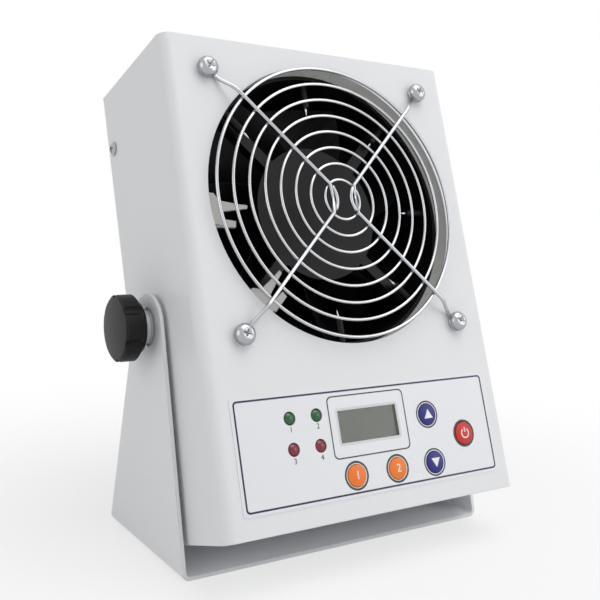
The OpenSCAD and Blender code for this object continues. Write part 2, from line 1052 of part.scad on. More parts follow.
module module_screws() {
  color(steel)
    leaned()
      for (place = module_screw_places())
        translate([place[0], place[1], sheet_t + 3 + 2 * seat])
          pan_screw(m3 - 0.1, 5.6, 2, 3 + sheet_t);
}

// Board of the power supply and the emitter drive.
module power_board() {
  color(board_green)
    leaned()
      difference() {
        translate([power_board_at[0], power_board_at[1], sheet_t + power_board_lift])
          cube(power_board_size);
        for (place = power_board_feet_places())
          translate([place[0], place[1], sheet_t + power_board_lift - past])
            cylinder(d = m3 + 0.2, h = board_t + 2 * past);
      }
}

// Parts on that board: capacitors, a coil, a finned cooler and terminal blocks.
module power_board_parts() {
  top = sheet_t + power_board_lift + board_t + seat;
  color("#39405a")
    leaned()
      translate([power_board_at[0], power_board_at[1], top]) {
        for (x = [14, 27])
          translate([x, 32, 0])
            cylinder(d = 10, h = 18);
        translate([14, 15, 0])
          difference() {
            cylinder(d = 15, h = 7);
            translate([0, 0, -past])
              cylinder(d = 6, h = 9);
          }
        translate([27, 9, 0]) {
          cube([18, 3, 16]);
          for (i = [0 : 3])
            translate([i * 5, 3 - seat, 0])
              cube([2, 6, 16]);
        }
        for (x = [38, 47])
          translate([x, 26, 0])
            cube([8, 8, 9]);
      }
}

module power_board_feet() {
  color(steel)
    leaned()
      for (place = power_board_feet_places())
        translate([place[0], place[1], sheet_t + seat])
          difference() {
            cylinder(d = 5.5, h = power_board_lift - 2 * seat, $fn = 6);
            translate([0, 0, -past])
              cylinder(d = m3, h = power_board_lift + past + seat);
          }
}

inlet_r = 5.5;
inlet_bore_r = 2.8;
ground_r = 4.5;
ground_bore_r = 2.05;

// Round low-voltage power inlet: a threaded body through the back sheet, with a centre pin.
module power_inlet() {
  color("#25272b")
    leaned()
      on_back(inlet_at[0], inlet_at[1]) {
        difference() {
          union() {
            translate([0, 0, -15])
              cylinder(r = inlet_r, h = 17.5);
            translate([0, 0, seat])
              cylinder(r = 7, h = 2);
            translate([0, 0, -sheet_t - seat - 2.5])
              cylinder(d = 14 / cos(30), h = 2.5, $fn = 6);
          }
          translate([0, 0, -9])
            cylinder(r = inlet_bore_r, h = 12);
        }
        translate([0, 0, -10])
          cylinder(r = 1.05, h = 11);
      }
}

// Socket for a 4 mm grounding plug: a metal sleeve in a collar, with a nut inside.
module ground_socket() {
  color(brass)
    leaned()
      on_back(ground_at[0], ground_at[1])
        difference() {
          union() {
            translate([0, 0, -16])
              cylinder(r = ground_r, h = 18);
            translate([0, 0, seat])
              cylinder(r = 6.5, h = 2.8);
            translate([0, 0, -sheet_t - seat - 3])
              cylinder(d = 12 / cos(30), h = 3, $fn = 6);
          }
          translate([0, 0, -14])
            cylinder(r = ground_bore_r, h = 14 + 2.8 + past);
        }
}

// Leads inside the housing.
module wiring() {
  board_top = sheet_t + power_board_lift + board_t;
  block_top = board_top + 9.2;
  color("#8a2f2a")
    leaned() {
      // High voltage, from the module to the emitter ring
      lead([[module_at[0] + 12, module_at[1] + 12, sheet_t + module_size[2] + 5.2],
            [-52, 32, 56], [-64, 30, 62], [-64, 18, 66], [-64, 11, 78],
            [-64, 11, 88], [-61.15, 11, 88]], 2.6);
      // Fan
      lead([[60.8, 17.5, 82], [64, 17.5, 76], [64, 30, 60], [50, 42, 56],
            [54, 43, 26], [54, 45, block_top]], 2);
      // Power inlet
      lead([[inlet_at[0], housing_d - 15.1, inlet_at[1]], [inlet_at[0], 43, inlet_at[1] - 1],
            [45, 44, block_top]], 2);
      // Ground socket
      lead([[ground_at[0], housing_d - 16.1, ground_at[1]], [ground_at[0], 45.4, ground_at[1]],
            [-38, 45.6, 24], [-4, 46.4, 14], [6, 46, board_top + 1]], 2);
      // Supply of the high-voltage module
      lead([[-7.9, 32, 14], [-3, 32, 14], [7, 31, board_top + 1]], 2);
      // Control board
      lead([[30, board_y + board_t + 0.1, 24], [30, 14, 24], [33, 18, 16],
            [33, 20, board_top + 1]], 2);
    }
}

// ---- Tilt pivot and knobs ----

// Rivet nuts in the side walls, for the knobs' studs.
module pivot_nuts() {
  color(steel)
    leaned()
      for (side = [-1, 1])
        on_side(side, pivot_y, pivot_z)
          difference() {
            union() {
              translate([0, 0, seat])
                cylinder(r = pivot_nut_r + 1.8, h = pivot_nut_flange - seat);
              translate([0, 0, -pivot_nut_depth - sheet_t])
                cylinder(r = pivot_nut_r, h = pivot_nut_depth + sheet_t + 0.1);
              translate([0, 0, -sheet_t - seat - 1.6])
                cylinder(r = pivot_nut_r + 1.4, h = 1.6);
            }
            translate([0, 0, -pivot_nut_depth - sheet_t - past])
              cylinder(r = stud_r + 0.05, h = 20);
          }
}

// Nylon washers that keep the housing off the stand's arms.
module spacer_washers() {
  color(white_plastic)
    leaned()
      for (side = [-1, 1])
        on_side(side, pivot_y, pivot_z)
          translate([0, 0, pivot_nut_flange + seat])
            difference() {
              cylinder(r = 9, h = stand_gap - pivot_nut_flange - 2 * seat);
              translate([0, 0, -past])
                cylinder(r = stud_r + 0.35, h = 6);
            }
}

lobe_count = 6;
lobe_turn = 50;
collar_r = 6.5;
collar_l = 3;
neck_r = 10;
neck_l = 2.2;
grip_r = 13;
grip_l = 6.2;
face_r = 11.6;
face_l = 1;
knob_l = neck_l + grip_l + face_l + 0.6;
dome_r = 90;

// Lobed clamp knob on the z axis, standing on z = 0: a neck, a grip and a flat-domed face.
module knob() {
  difference() {
    intersection() {
      union() {
        cylinder(r = neck_r, h = neck_l + 0.1);
        translate([0, 0, neck_l])
          cylinder(r1 = grip_r - 0.6, r2 = grip_r, h = 0.6, $fn = 64);
        translate([0, 0, neck_l + 0.6])
          cylinder(r = grip_r, h = grip_l - 0.6, $fn = 64);
        translate([0, 0, neck_l + grip_l])
          cylinder(r1 = grip_r, r2 = face_r, h = face_l, $fn = 64);
        translate([0, 0, neck_l + grip_l + face_l - 0.1])
          cylinder(r = face_r, h = 1, $fn = 64);
      }
      translate([0, 0, knob_l - dome_r])
        sphere(r = dome_r, $fn = 256);
    }
    for (i = [0 : lobe_count - 1])
      rotate([0, 0, lobe_turn + i * 360 / lobe_count])
        translate([grip_r + 0.9, 0, neck_l - past])
          cylinder(r = 2.2, h = knob_l);
    translate([0, 0, -past])
      cylinder(r = stud_r + seat, h = knob_l - 1);
  }
}

// Puts a knob's pieces on the pivot: z = 0 on the outside of the stand's arm.
module at_arm(side) {
  leaned()
    on_side(side, pivot_y, pivot_z)
      translate([0, 0, stand_w / 2 - housing_w / 2])
        children();
}

// Threaded stud with the metal collar that the knob is moulded on.
module knob_stud() {
  inner_end = stand_w / 2 - housing_w / 2 + sheet_t + pivot_nut_depth - 0.6;
  translate([0, 0, -inner_end])
    cylinder(r = stud_r, h = inner_end + knob_washer_t + collar_l + knob_l - 2.4);
  translate([0, 0, knob_washer_t])
    cylinder(r = collar_r, h = collar_l - seat);
}

module knob_washer() {
  translate([0, 0, seat])
    difference() {
      cylinder(r = 8, h = knob_washer_t - 2 * seat);
      translate([0, 0, -past])
        cylinder(r = stud_r + 0.35, h = 4);
    }
}

module left_knob() {
  color(black_plastic)
    at_arm(-1)
      translate([0, 0, knob_washer_t + collar_l])
        knob();
}

module left_knob_stud() {
  color(steel)
    at_arm(-1)
      knob_stud();
}

module left_knob_washer() {
  color(chrome)
    at_arm(-1)
      knob_washer();
}

module right_knob() {
  color(black_plastic)
    at_arm(1)
      translate([0, 0, knob_washer_t + collar_l])
        knob();
}

module right_knob_stud() {
  color(steel)
    at_arm(1)
      knob_stud();
}

module right_knob_washer() {
  color(chrome)
    at_arm(1)
      knob_washer();
}

// ---- Stand ----

// Side view of the stand: straight-edged arm with a round top, on a full-depth foot.
module stand_outline() {
  foot = 3;
  half = stand_d / 2;
  rise = pivot_height - foot;
  turn = acos(arm_top_r / norm([half, rise])) - atan2(rise, half);
  touch = [arm_top_r * cos(turn), arm_top_r * sin(turn)];
  translate([0, pivot_height])
    circle(r = arm_top_r, $fn = 64);
  polygon([[-half, 0], [half, 0], [half, foot],
           [touch[0], pivot_height + touch[1]], [-touch[0], pivot_height + touch[1]],
           [-half, foot]]);
}

// Sheet folded into a U: a base on the bench and an arm up each side.
module stand_bracket() {
  color(paint)
    difference() {
      intersection() {
        translate([0, stand_d / 2, 0])
          rotate([90, 0, 0])
            linear_extrude(height = stand_d)
              folded_section(stand_w, pivot_height + 2 * arm_top_r, stand_bend_r, stand_t);
        translate([-stand_w / 2 - past, 0, 0])
          rotate([90, 0, 90])
            linear_extrude(height = stand_w + 2 * past)
              stand_outline();
      }
      translate([0, 0, pivot_height])
        rotate([0, 90, 0])
          cylinder(r = stud_r + 0.08, h = stand_w + 2 * past, center = true);
      for (side = [-1, 1])
        translate([side * base_hole_pitch / 2, base_hole_y, -past])
          cylinder(d = base_hole_d, h = stand_t + 2 * past);
    }
}

front_cover();
rear_cover();
cover_screws();
cover_nuts();
front_guard();
front_guard_screws();
front_guard_nuts();
rear_guard();
rear_guard_screws();
rear_guard_nuts();
intake_filter();
outlet_ring();
emitter_ring();
emitter_sockets();
emitter_needles();
fan_frame();
fan_impeller();
rotor_magnet();
fan_shaft();
fan_bearings();
stator_core();
stator_coils();
fan_circuit_board();
control_overlay();
display_window();
display_module();
green_lamps();
red_lamps();
power_key();
up_key();
down_key();
left_key();
right_key();
control_board();
key_switches();
board_standoffs();
board_screws();
high_voltage_module();
module_screws();
power_board();
power_board_parts();
power_board_feet();
power_inlet();
ground_socket();
wiring();
pivot_nuts();
spacer_washers();
left_knob();
left_knob_stud();
left_knob_washer();
right_knob();
right_knob_stud();
right_knob_washer();
stand_bracket();
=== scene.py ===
# %% [markdown]
# # A bench ionizing blower
# The blower is a folded steel box that leans in a U-shaped stand. A fan inside pushes air
# past a ring of needle emitters and out through a wire guard; a film panel below it holds
# keys, lamps and a small display. The solid frame of all that is loaded first. The lesson
# then gives each part its finish, and rebuilds the parts whose small forms carry the look.

# %% Load the frame and note its size
import json
import math

import bmesh
import bpy
from mathutils import Matrix, Vector


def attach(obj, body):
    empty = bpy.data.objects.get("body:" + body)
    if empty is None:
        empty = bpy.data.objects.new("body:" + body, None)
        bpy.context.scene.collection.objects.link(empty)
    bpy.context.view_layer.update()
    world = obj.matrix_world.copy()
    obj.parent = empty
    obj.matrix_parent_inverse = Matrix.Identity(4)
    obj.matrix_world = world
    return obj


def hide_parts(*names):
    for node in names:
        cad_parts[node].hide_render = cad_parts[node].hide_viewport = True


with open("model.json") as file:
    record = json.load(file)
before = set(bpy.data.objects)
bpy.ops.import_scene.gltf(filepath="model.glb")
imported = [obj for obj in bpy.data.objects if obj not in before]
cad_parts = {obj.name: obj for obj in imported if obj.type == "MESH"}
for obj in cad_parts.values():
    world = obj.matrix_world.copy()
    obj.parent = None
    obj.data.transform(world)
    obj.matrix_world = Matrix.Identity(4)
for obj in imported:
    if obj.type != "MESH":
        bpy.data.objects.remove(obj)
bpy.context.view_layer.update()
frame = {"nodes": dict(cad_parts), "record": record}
MM = 0.001

# %% [markdown]
# The housing is easiest to think about standing upright: x across, y from the front face
# back, z up from its bottom edge. One matrix leans that upright housing back on its tilt
# axis, and every piece of the blower is drawn upright and then passed through it.

# %% The housing's own axes
LEAN = math.radians(19)
PIVOT = Vector((0, 37, 84)) * MM
PIVOT_HEIGHT = 90 * MM
HOUSING = (
    Matrix.Translation((0, 0, PIVOT_HEIGHT))
    @ Matrix.Rotation(-LEAN, 4, "X")
    @ Matrix.Translation(-PIVOT)
)
HOUSING_DEPTH = 63 * MM
FAN_HEIGHT = 125  # of the fan axis over the housing's lower edge, in millimetres


def on_front(x, z, lift=0.0):
    """Matrix for a piece drawn on z = 0 that stands on the front face, its +z outwards."""
    place = Matrix.Translation((x * MM, -lift * MM, z * MM))
    return HOUSING @ place @ Matrix.Rotation(math.pi / 2, 4, "X")


def on_back(x, z):
    """The same for the back face."""
    place = Matrix.Translation((x * MM, HOUSING_DEPTH, z * MM))
    return HOUSING @ place @ Matrix.Rotation(-math.pi / 2, 4, "X")


print("tilt axis at", tuple(round(v, 4) for v in HOUSING @ PIVOT))

# %% [markdown]
# ## Finishes
# A finish is a small tree of shader nodes. Writing such a tree by hand is slow, so two
# helpers do it: `Value` is one number flowing through the tree and can be added, multiplied
# and compared like any number, and `Finish` is the material that the numbers end up in.


# %% Values that flow through a shader
class Value:
    """One output of a shader node. Arithmetic on it adds Math nodes."""

    def __init__(self, finish, socket):
        self.finish, self.socket = finish, socket

    def math(self, operation, *others):
        inputs = dict(enumerate((self, *others)))
        return self.finish.node("ShaderNodeMath", {"operation": operation}, inputs)

    def __add__(self, other):
        return self.math("ADD", other)

    __radd__ = __add__

    def __mul__(self, other):
        return self.math("MULTIPLY", other)

    __rmul__ = __mul__

    def __sub__(self, other):
        return self.math("SUBTRACT", other)

    def __rsub__(self, other):
        return (self * -1.0).math("ADD", other)

    def eased(self, low, high):
        """0 below low, 1 above high, and a soft step between."""
        settings = {"interpolation_type": "SMOOTHSTEP"}
        inputs = {0: self, 1: low, 2: high, 3: 0.0, 4: 1.0}
        return self.finish.node("ShaderNodeMapRange", settings, inputs)


# %% A finish
class Finish:
    """A material with one Principled shader, and helpers that feed it."""

    def __init__(self, name, colour, roughness=0.5, metallic=0.0, **constants):
        self.material = bpy.data.materials.new(name)
        self.material.use_nodes = True
        self.tree = self.material.node_tree
        self.shader = self.tree.nodes["Principled BSDF"]
        self.colour = (*colour, 1.0)
        self.shader.inputs["Base Color"].default_value = self.colour
        self.shader.inputs["Roughness"].default_value = roughness
        self.shader.inputs["Metallic"].default_value = metallic
        for socket, value in constants.items():
            self.shader.inputs[socket.replace("_", " ")].default_value = value

    def node(self, kind, settings=None, inputs=None, output=0):
        """Adds a node: its settings first, then the values or links of its sockets."""
        made = self.tree.nodes.new(kind)
        for key, value in (settings or {}).items():
            setattr(made, key, value)
        for key, value in (inputs or {}).items():
            if isinstance(value, Value):
                self.tree.links.new(value.socket, made.inputs[key])
            else:
                made.inputs[key].default_value = value
        return Value(self, made.outputs[output])

    def place(self, turn=(0, 0, 0), stretch=(1, 1, 1)):
        """The piece's own coordinates in metres, turned or stretched."""
        here = self.node("ShaderNodeTexCoord", output="Object")
        inputs = {"Vector": here, "Rotation": turn, "Scale": stretch}
        return self.node("ShaderNodeMapping", {}, inputs)

    def noise(self, scale, detail=2.0, at=None):
        """Soft random values round 0.5, with patches about 1/scale metres wide."""
        inputs = {"Vector": at or self.place(), "Scale": scale, "Detail": detail}
        return self.node("ShaderNodeTexNoise", {}, inputs)

    def mix(self, factor, first, second):
        """A colour between two colours."""
        return self.node("ShaderNodeMix", {"data_type": "RGBA"}, {0: factor, 6: first, 7: second}, output=2)

    def shades(self, factor, darker, lighter):
        """The base colour, between a darker and a lighter copy of itself."""
        low = (*(c * darker for c in self.colour[:3]), 1.0)
        high = (*(min(1.0, c * lighter) for c in self.colour[:3]), 1.0)
        return self.mix(factor, low, high)

    def rounded(self, radius):
        """A normal that takes the sharpness off edges, as paint and tooling do."""
        return self.node("ShaderNodeBevel", {"samples": 4}, {"Radius": radius})

    def bump(self, height, distance, strength=1.0, over=None):
        inputs = {"Height": height, "Distance": distance, "Strength": strength}
        if over is not None:
            inputs["Normal"] = over
        return self.node("ShaderNodeBump", {}, inputs)

    def feed(self, **sockets):
        """Links values to the Principled shader's own sockets."""
        for socket, value in sockets.items():
            self.tree.links.new(value.socket, self.shader.inputs[socket.replace("_", " ")])
        return self.material


# %% [markdown]
# **Powder coat.** The sheet metal is sprayed with powder that melts into a thick skin. It
# has a very fine orange-peel ripple, rounds every edge a little, and is never quite even in
# gloss. The ripple is a bump about a millimetre wide and only a few microns high.


# %% Powder coat
def powder_coat(name, colour):
    coat = Finish(name, colour, roughness=0.42, Specular_IOR_Level=0.45)
    broad = coat.noise(14.0, 2.0)
    ripple = coat.noise(900.0, 1.0)
    grain = coat.noise(3200.0, 1.0)
    coat.feed(
        Base_Color=coat.shades(broad, 0.975, 1.02),
        Roughness=0.36 + broad * 0.10 + grain * 0.04,
        Normal=coat.bump(ripple + grain * 0.35, 0.00002, 0.55, over=coat.rounded(0.0005)),
    )
    return coat.material


coat = powder_coat("powder_coat_pale_grey", (0.80, 0.81, 0.83))
print("finish:", coat.name)

# %% [markdown]
# **Metals.** The guard wire is welded first and then plated bright, so its shine is high
# and slightly cloudy where the plating pooled. Screws are plated too, with fine marks from
# the driver. Nuts, studs and stand-offs are plain zinc, which is duller and patchy.


# %% Metals
def plated_metal(name, colour, roughness, cloud, scratch):
    metal = Finish(name, colour, roughness=roughness, metallic=1.0)
    clouds = metal.noise(160.0, 3.0)
    lines = metal.noise(1.0, 2.0, at=metal.place(stretch=(500.0, 4200.0, 900.0)))
    metal.feed(
        Base_Color=metal.shades(clouds, 0.90, 1.05),
        Roughness=roughness + (clouds - 0.5) * cloud + (lines - 0.5) * scratch,
        Normal=metal.bump(lines + clouds, 0.000004, 0.5),
    )
    return metal.material


bright_wire = plated_metal("bright_plated_wire", (0.50, 0.51, 0.53), 0.16, 0.16, 0.04)
bright_screw = plated_metal("bright_nickel", (0.42, 0.43, 0.45), 0.20, 0.12, 0.10)
zinc = plated_metal("zinc_plate", (0.60, 0.61, 0.62), 0.36, 0.22, 0.12)
needle_steel = plated_metal("polished_steel", (0.68, 0.69, 0.70), 0.20, 0.06, 0.12)
laminated_steel = plated_metal("laminated_steel", (0.30, 0.31, 0.33), 0.45, 0.20, 0.25)
brass = plated_metal("turned_brass", (0.76, 0.57, 0.25), 0.26, 0.14, 0.18)
copper_wire = plated_metal("enamelled_copper", (0.62, 0.27, 0.12), 0.30, 0.10, 0.30)
print("finishes:", bright_wire.name, bright_screw.name, zinc.name)

# %% [markdown]
# **Moulded plastics.** They share one recipe: a colour with slight mottling, a surface
# grain that was etched in the mould, and softened edges. The knobs have the deeper grain,
# and the white parts are nearly polished. A deep black gets a lower specular level, because
# the white room in its reflection would otherwise turn it grey.


# %% Moulded plastics
def moulded(name, colour, roughness, grain_size, grain_depth, edge=0.0003, mottle=0.12):
    shine = 0.22 if max(colour) < 0.01 else 0.45
    plastic = Finish(name, colour, roughness=roughness, Specular_IOR_Level=shine)
    grain = plastic.noise(1.0 / grain_size, 2.0)
    patches = plastic.noise(60.0, 2.0)
    plastic.feed(
        Base_Color=plastic.shades(patches, 1.0 - mottle, 1.0 + mottle),
        Roughness=roughness - 0.05 + patches * 0.10,
        Normal=plastic.bump(grain, grain_depth, 0.7, over=plastic.rounded(edge)),
    )
    return plastic.material


fan_plastic = moulded("fan_black_plastic", (0.0035, 0.0035, 0.0042), 0.40, 0.0008, 0.00002)
ring_plastic = moulded("emitter_ring_plastic", (0.003, 0.003, 0.0036), 0.45, 0.0006, 0.00002)
knob_plastic = moulded("knob_black_nylon", (0.003, 0.003, 0.0035), 0.42, 0.0004, 0.00004, edge=0.0005)
white_plastic = moulded("white_nylon", (0.82, 0.82, 0.80), 0.28, 0.0010, 0.00001, mottle=0.03)
inlet_plastic = moulded("inlet_black_plastic", (0.02, 0.02, 0.022), 0.40, 0.0005, 0.00002)
potting = moulded("potted_block", (0.03, 0.033, 0.04), 0.30, 0.0015, 0.00003)
lead_cover = moulded("lead_insulation", (0.35, 0.025, 0.02), 0.45, 0.0006, 0.00001)
red_key_plastic = moulded("key_red", (0.60, 0.018, 0.012), 0.38, 0.0004, 0.00001, mottle=0.05)
blue_key_plastic = moulded("key_blue", (0.010, 0.012, 0.19), 0.38, 0.0004, 0.00001, mottle=0.05)
orange_key_plastic = moulded("key_orange", (0.88, 0.20, 0.018), 0.38, 0.0004, 0.00001, mottle=0.05)
foam = moulded("filter_foam", (0.012, 0.012, 0.013), 0.95, 0.0012, 0.0009, mottle=0.5)
clip_nylon = moulded("clip_nylon", (0.50, 0.50, 0.49), 0.22, 0.0012, 0.00002, mottle=0.10)
print("finishes:", fan_plastic.name, knob_plastic.name, orange_key_plastic.name)

# %% [markdown]
# ** Panel film, display and lamps.** The overlay is a polycarbonate film with a fine matt
# texture. The display is a grey-green liquid-crystal cell under a clear pane; a painted
# reflection makes its colour lighter towards one side and its lower edge. The lamps are
# tinted epoxy: dark while off, and shiny.


# %% Panel film, display and lamps
def panel_film():
    film = Finish("panel_film", (0.80, 0.81, 0.84), roughness=0.30, Specular_IOR_Level=0.5)
    emboss = film.noise(5200.0, 1.0)
    broad = film.noise(30.0, 1.0)
    film.feed(
        Base_Color=film.shades(broad, 0.985, 1.015),
        Roughness=0.27 + broad * 0.08,
        Normal=film.bump(emboss, 0.000008, 0.6),
    )
    return film.material


def display_glass():
    shade = (0.088, 0.098, 0.080)
    glass = Finish("display_cell", shade, roughness=0.16, Coat_Weight=0.4, Coat_Roughness=0.05)
    upright = glass.place(turn=(LEAN, 0, 0))
    apart = glass.node("ShaderNodeSeparateXYZ", {}, {0: upright})
    across, up = apart, Value(glass, apart.socket.node.outputs["Z"])
    # Painted reflection: the cell's colour is painted lighter towards +x and its lower edge, standing in
    # for the room reflected in the pane.
    painted_reflection = (across * 22.0 - (up - 0.03) * 8.0).eased(-0.6, 0.9)
    cloud = glass.noise(90.0, 2.0)
    glass.feed(
        Base_Color=glass.shades(painted_reflection * 0.85 + cloud * 0.15, 0.80, 1.35),
        Roughness=0.12 + cloud * 0.08,
    )
    return glass.material


def lamp_epoxy(name, colour):
    epoxy = Finish(name, colour, roughness=0.10, Coat_Weight=0.25, Coat_Roughness=0.03)
    depth = epoxy.noise(420.0, 2.0)
    epoxy.feed(Base_Color=epoxy.shades(depth, 0.55, 1.5), Roughness=0.08 + depth * 0.08)
    return epoxy.material


def clear_pane():
    tint = (0.30, 0.33, 0.28)
    pane = Finish("display_pane", tint, roughness=0.10, Specular_IOR_Level=0.3, Alpha=0.14)
    haze = pane.noise(700.0, 2.0)
    pane.feed(Roughness=0.06 + haze * 0.06)
    return pane.material


def circuit_board():
    board = Finish("solder_mask", (0.015, 0.13, 0.045), roughness=0.30, Coat_Weight=0.3)
    along = board.place(turn=(LEAN, 0, 0), stretch=(700.0, 700.0, 90.0))
    tracks = board.noise(1.0, 1.0, at=along)
    copper_under = tracks.eased(0.50, 0.54)
    board.feed(
        Base_Color=board.mix(copper_under, (0.010, 0.095, 0.032, 1.0), (0.024, 0.19, 0.060, 1.0)),
        Roughness=0.25 + tracks * 0.1,
        Normal=board.bump(copper_under, 0.00003, 0.6),
    )
    return board.material


film = panel_film()
cell = display_glass()
green_epoxy = lamp_epoxy("green_lamp_epoxy", (0.006, 0.095, 0.022))
red_epoxy = lamp_epoxy("red_lamp_epoxy", (0.20, 0.004, 0.022))
pane = clear_pane()
board_mask = circuit_board()
print("finishes:", film.name, cell.name, pane.name)

# %% [markdown]
# The frame's record says which slot each solid belongs to. Giving a finish to a slot
# therefore finishes every solid of it, also the ones that other pieces later stand for.

# %% Give every solid its finish
SLOT_FINISH = {
    "painted_sheet": coat,
    "bright_wire": bright_wire,
    "plated_screws": bright_screw,
    "zinc_steel": zinc,
    "needle_steel": needle_steel,
    "magnet_steel": laminated_steel,
    "windings": copper_wire,
    "black_plastic": fan_plastic,
    "knob_plastic": knob_plastic,
    "white_plastic": white_plastic,
    "panel_film": film,
    "display_pane": pane,
    "display": cell,
    "green_lamp": green_epoxy,
    "red_lamp": red_epoxy,
    "red_key": red_key_plastic,
    "blue_keys": blue_key_plastic,
    "orange_keys": orange_key_plastic,
    "circuit_board": board_mask,
    "electronic_parts": potting,
    "inlet_plastic": inlet_plastic,
    "socket_brass": brass,
    "lead_cover": lead_cover,
    "filter_foam": foam,
}
slot_of = {part["node"]: part["material_slot"] for part in frame["record"]["subparts"]}
for node, solid in frame["nodes"].items():
    for material_slot in solid.material_slots:
        material_slot.material = SLOT_FINISH[slot_of[node]]
for material_slot in frame["nodes"]["emitter_ring"].material_slots:
    material_slot.material = ring_plastic
print("solids finished:", len(slot_of))

# %% [markdown]
# ## Small forms
# The printed lines, rings and signs are thin raised layers, so they are cut as flat shapes
# in mesh code: a plate from one outline, or a band between two outlines with equally many
# points. Each is drawn in millimetres on z = 0 and then carried to its face by a matrix.


# %% Outlines, plates and bands
def circle_outline(radius, middle=(0, 0), points=64, start=0.0, sweep=2 * math.pi):
    closed = sweep > 6.28
    steps = points if closed else points - 1
    turns = [start + sweep * i / steps for i in range(points)]
    return [(middle[0] + radius * math.cos(t), middle[1] + radius * math.sin(t)) for t in turns]


def rounded_outline(width, height, radius, middle=(0, 0), points=8):
    corners = ((1, 1, 0), (-1, 1, 1), (-1, -1, 2), (1, -1, 3))
    outline = []
    for across, up, quarter in corners:
        centre_x = middle[0] + across * (width / 2 - radius)
        centre_y = middle[1] + up * (height / 2 - radius)
        start = quarter * math.pi / 2
        outline += circle_outline(radius, (centre_x, centre_y), points, start, math.pi / 2)
    return outline


def add_plate(mesh, outline, low, high):
    """A solid slice with the outline's shape."""
    rings = [[mesh.verts.new((x, y, z)) for x, y in outline] for z in (low, high)]
    count = len(outline)
    mesh.faces.new(rings[1])
    mesh.faces.new(list(reversed(rings[0])))
    for i in range(count):
        j = (i + 1) % count
        mesh.faces.new((rings[0][i], rings[0][j], rings[1][j], rings[1][i]))


def add_band(mesh, outer, inner, low, high, closed=True):
    """A solid strip between two outlines."""
    loops = [(outer, low), (outer, high), (inner, high), (inner, low)]
    rings = [[mesh.verts.new((x, y, z)) for x, y in outline] for outline, z in loops]
    count = len(outer)
    for i in range(count if closed else count - 1):
        j = (i + 1) % count
        for k in range(4):
            here, there = rings[k], rings[(k + 1) % 4]
            mesh.faces.new((here[i], here[j], there[j], there[i]))
    if not closed:
        mesh.faces.new([ring[0] for ring in rings])
        mesh.faces.new([ring[-1] for ring in reversed(rings)])


def finished_piece(name, mesh, matrix, material, body, smooth=False):
    """Turns the drawn mesh into a piece: in metres, in place, outwards, riding its body."""
    bmesh.ops.recalc_face_normals(mesh, faces=mesh.faces)
    bmesh.ops.scale(mesh, vec=(MM, MM, MM), verts=mesh.verts)
    bmesh.ops.transform(mesh, matrix=matrix, verts=mesh.verts)
    for face in mesh.faces:
        face.smooth = smooth
    data = bpy.data.meshes.new(name)
    mesh.to_mesh(data)
    mesh.free()
    data.materials.append(material)
    piece = bpy.data.objects.new(name, data)
    bpy.context.collection.objects.link(piece)
    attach(piece, body)
    return piece


def on_fan(depth):
    """Matrix for a piece drawn round the fan axis, its +z towards the front."""
    return on_front(0, FAN_HEIGHT, -depth)


print("helpers for plates and bands are ready")

# %% [markdown]
# **Inks.** The overlay is printed from behind in a few solid inks, which look slightly
# uneven and take the film's own soft gloss.


# %% Inks
def ink(name, colour, roughness=0.34):
    layer = Finish(name, colour, roughness=roughness)
    patches = layer.noise(500.0, 2.0)
    layer.feed(
        Base_Color=layer.shades(patches, 0.90, 1.08),
        Roughness=roughness - 0.04 + patches * 0.08,
        Normal=layer.bump(layer.noise(5200.0, 1.0), 0.000006, 0.5),
    )
    return layer.material


navy_ink = ink("ink_navy", (0.008, 0.009, 0.055))
black_ink = ink("ink_black", (0.014, 0.014, 0.018))
grey_ink = ink("ink_pale_grey", (0.66, 0.67, 0.69))
white_ink = ink("ink_white", (0.86, 0.86, 0.86))
print("inks:", navy_ink.name, black_ink.name, grey_ink.name, white_ink.name)

# %% [markdown]
# **The overlay's print.** A fine navy line frames the film, a thinner black one frames the
# display, and every key sits in a printed ring. The lamps carry plain numbers.

# %% Printed lines and rings
FILM_TOP = 0.3
PRINT_LOW, PRINT_HIGH = FILM_TOP + 0.005, FILM_TOP + 0.035
FACE = on_front(0, 0)
KEY_PLACES = {
    "power": (46, 25.2),
    "up": (27.8, 35),
    "down": (27.8, 15.6),
    "left": (-11.6, 15.7),
    "right": (8.4, 15.7),
}


def printed_frame(name, width, height, radius, middle, line, material):
    mesh = bmesh.new()
    outer = rounded_outline(width, height, radius, middle)
    inner = rounded_outline(width - 2 * line, height - 2 * line, radius - line * 0.8, middle)
    add_band(mesh, outer, inner, PRINT_LOW, PRINT_HIGH)
    return finished_piece(name, mesh, FACE, material, "blower")


def printed_ring(name, place, inner_r, outer_r, material):
    mesh = bmesh.new()
    rings = (circle_outline(outer_r, place), circle_outline(inner_r, place))
    add_band(mesh, *rings, PRINT_LOW, PRINT_HIGH)
    return finished_piece(name, mesh, FACE, material, "blower")


printed_frame("film_border_line", 121.6, 39.8, 1.6, (0, 28.8), 0.7, navy_ink)
printed_frame("display_frame_line", 37.3, 24.1, 2.2, (-1.85, 34.65), 0.5, black_ink)
printed_frame("display_bezel", 30.4, 14.4, 0.9, (-2, 34.6), 0.95, grey_ink)
for key in ("left", "right"):
    printed_ring(f"{key}_key_pale_ring", KEY_PLACES[key], 4.45, 4.75, white_ink)
    printed_ring(f"{key}_key_black_ring", KEY_PLACES[key], 4.75, 5.6, black_ink)
for key in ("up", "down"):
    printed_ring(f"{key}_key_white_ring", KEY_PLACES[key], 4.6, 4.95, white_ink)
    printed_ring(f"{key}_key_outline", KEY_PLACES[key], 4.95, 5.6, navy_ink)
printed_ring("power_key_ring", KEY_PLACES["power"], 4.9, 5.7, black_ink)
print("printed: 3 frames and 9 rings")

# %% [markdown]
# **Numbers and signs.** Blender's own plain font gives the digits. A text object is turned
# into a mesh first and only then put in place, so that its pattern stays where it is.


